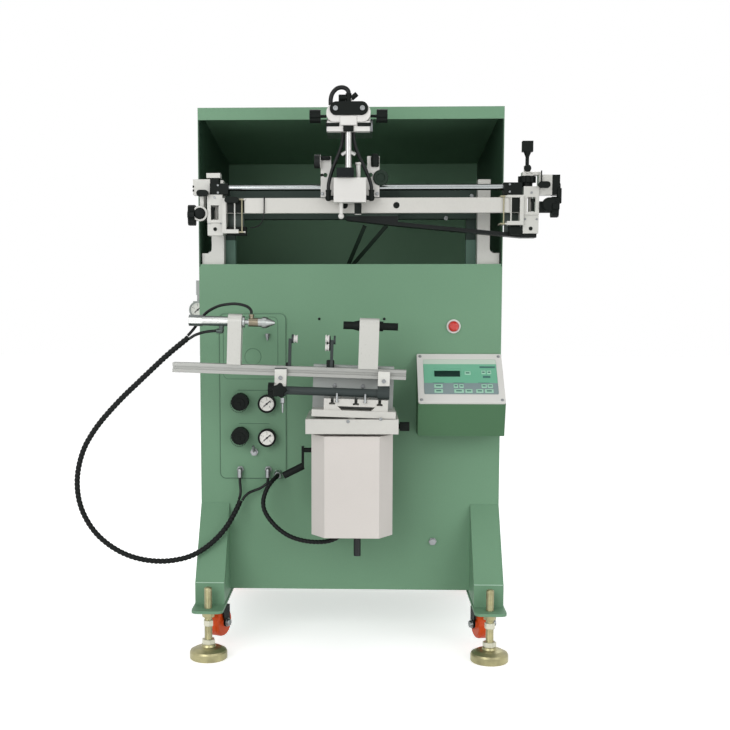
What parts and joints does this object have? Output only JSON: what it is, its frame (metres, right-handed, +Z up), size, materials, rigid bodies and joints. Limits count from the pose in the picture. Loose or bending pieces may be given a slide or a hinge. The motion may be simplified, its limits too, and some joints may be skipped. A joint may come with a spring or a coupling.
{
  "type": "curved surface screen printing machine",
  "caption": "Screen printing machine for curved objects, with an open-hooded green cabinet, a sliding screen carriage, a squeegee head and a lifting object table.",
  "frame": {"origin": "middle of the machine's plan, without its hoses, on the floor under the levelling pads", "axes": "+Z up, -Y out of the front of the cabinet, +X to the right as seen from the front"},
  "size_m": [1.016, 0.775, 1.1925],
  "materials": {
    "green_paint": "fine textured powder coat, grey-green",
    "zinc": "yellow zinc plated steel",
    "dark_steel": "black painted pressed steel",
    "orange_rubber": "orange polyurethane, satin",
    "white_plastic": "white, fine satin",
    "white_paint": "white enamel, satin",
    "overlay": "printed membrane, green over grey-violet",
    "red_lens": "red moulded lens, glossy",
    "black_plastic": "black moulded plastic, satin",
    "nickel": "bright plated steel",
    "grey_paint": "light grey enamel",
    "slate_paint": "dark blue-grey paint",
    "cream_paint": "cream enamel, satin",
    "chrome": "hard chrome plated, polished",
    "aluminium": "anodised extrusion",
    "brass": "turned brass with a bright steel cone",
    "black_hose": "black tube, the thick ones spiral wrapped"
  },
  "bodies": {
    "cabinet": {"side_panels": "green_paint", "front_panel": "green_paint", "rear_panel": "green_paint", "cabinet_floor": "green_paint", "deck_plate": "green_paint", "hood_roof": "green_paint", "leg_housings": "green_paint", "levelling_feet": "zinc", "control_box": "green_paint", "control_bezel": "white_plastic", "control_overlay": "overlay", "power_lamp": "red_lens", "pneumatic_panel": "green_paint", "regulator_knobs": "black_plastic", "pressure_gauges": "black_plastic", "panel_fittings": "nickel", "air_filter_regulator": "grey_paint", "uprights": "white_plastic", "guide_beam": "slate_paint", "head_bracket": "nickel", "head_blocks": "white_plastic", "head_knobs": "black_plastic", "table_way": "nickel", "main_hose": "black_hose", "port_tubes": "black_hose", "motor_cable": "black_hose", "head_hose": "black_hose"},
    "fork_fl": {"caster_fork_fl": "dark_steel"},
    "wheel_fl": {"caster_wheel_fl": "orange_rubber"},
    "fork_fr": {"caster_fork_fr": "dark_steel"},
    "wheel_fr": {"caster_wheel_fr": "orange_rubber"},
    "fork_rl": {"caster_fork_rl": "dark_steel"},
    "wheel_rl": {"caster_wheel_rl": "orange_rubber"},
    "fork_rr": {"caster_fork_rr": "dark_steel"},
    "wheel_rr": {"caster_wheel_rr": "orange_rubber"},
    "carriage": {"screen_beam": "cream_paint", "chrome_rod": "chrome", "clamp_frames": "white_plastic", "clamp_blocks": "black_plastic", "clamp_knobs": "black_plastic", "carriage_slide": "slate_paint", "tray_bar": "dark_steel"},
    "lever": {"clamp_lever": "black_plastic"},
    "squeegee": {"squeegee_rod": "chrome", "squeegee_block": "white_plastic"},
    "table": {"table_saddle": "slate_paint", "motor_cover": "white_paint", "table_base": "cream_paint", "t_slot_block": "cream_paint", "rail_column": "grey_paint", "object_rail": "aluminium", "spindle_arms": "white_paint", "clamp_cylinder": "nickel", "support_bar": "slate_paint", "table_knobs": "black_plastic", "cylinder_tube": "black_hose", "nozzle_tube": "black_hose"},
    "nozzle": {"air_nozzle": "brass"},
    "tail": {"tail_spindle": "black_plastic"},
    "crank": {"hand_crank": "black_plastic"}
  },
  "joints": [
    {"name": "swivel_fl", "type": "hinge", "parent": "cabinet", "child": "fork_fl", "pos_m": [-0.33, -0.2325, 0.09], "axis": [0, 0, 1], "continuous": true},
    {"name": "axle_fl", "type": "hinge", "parent": "fork_fl", "child": "wheel_fl", "pos_m": [-0.32105, -0.2124, 0.053], "axis": [0.9135, -0.4067, 0], "continuous": true},
    {"name": "swivel_fr", "type": "hinge", "parent": "cabinet", "child": "fork_fr", "pos_m": [0.267, -0.2325, 0.09], "axis": [0, 0, 1], "continuous": true},
    {"name": "axle_fr", "type": "hinge", "parent": "fork_fr", "child": "wheel_fr", "pos_m": [0.26168, -0.21115, 0.053], "axis": [0.9703, 0.2419, 0], "continuous": true},
    {"name": "swivel_rl", "type": "hinge", "parent": "cabinet", "child": "fork_rl", "pos_m": [-0.33, 0.2575, 0.09], "axis": [0, 0, 1], "continuous": true},
    {"name": "axle_rl", "type": "hinge", "parent": "fork_rl", "child": "wheel_rl", "pos_m": [-0.33382, 0.27917, 0.053], "axis": [0.9848, 0.1736, 0], "continuous": true},
    {"name": "swivel_rr", "type": "hinge", "parent": "cabinet", "child": "fork_rr", "pos_m": [0.267, 0.2575, 0.09], "axis": [0, 0, 1], "continuous": true},
    {"name": "axle_rr", "type": "hinge", "parent": "fork_rr", "child": "wheel_rr", "pos_m": [0.2738, 0.27842, 0.053], "axis": [0.9511, -0.309, 0], "continuous": true},
    {"name": "carriage_travel", "type": "slide", "parent": "cabinet", "child": "carriage", "axis": [1, 0, 0], "range_m": [-0.16, 0.08]},
    {"name": "lever_turn", "type": "hinge", "parent": "carriage", "child": "lever", "pos_m": [0.3365, -0.2565, 1.033], "axis": [0, 1, 0], "range_deg": [-50, 0]},
    {"name": "squeegee_lift", "type": "slide", "parent": "cabinet", "child": "squeegee", "axis": [0, 0, 1], "range_m": [0, 0.02]},
    {"name": "table_lift", "type": "slide", "parent": "cabinet", "child": "table", "axis": [0, 0, 1], "range_m": [-0.03, 0.03], "deforming": ["main_hose", "motor_cable"]},
    {"name": "nozzle_slide", "type": "slide", "parent": "table", "child": "nozzle", "axis": [0.9995, 0, -0.0314], "range_m": [0, 0.04], "deforming": ["nozzle_tube"]},
    {"name": "tail_spin", "type": "hinge", "parent": "table", "child": "tail", "pos_m": [0.0103, -0.3465, 0.709], "axis": [0.9995, 0, -0.0314], "continuous": true},
    {"name": "crank_turn", "type": "hinge", "parent": "table", "child": "crank", "pos_m": [-0.1085, -0.2875, 0.446], "axis": [1, 0, 0], "continuous": true}
  ]
}
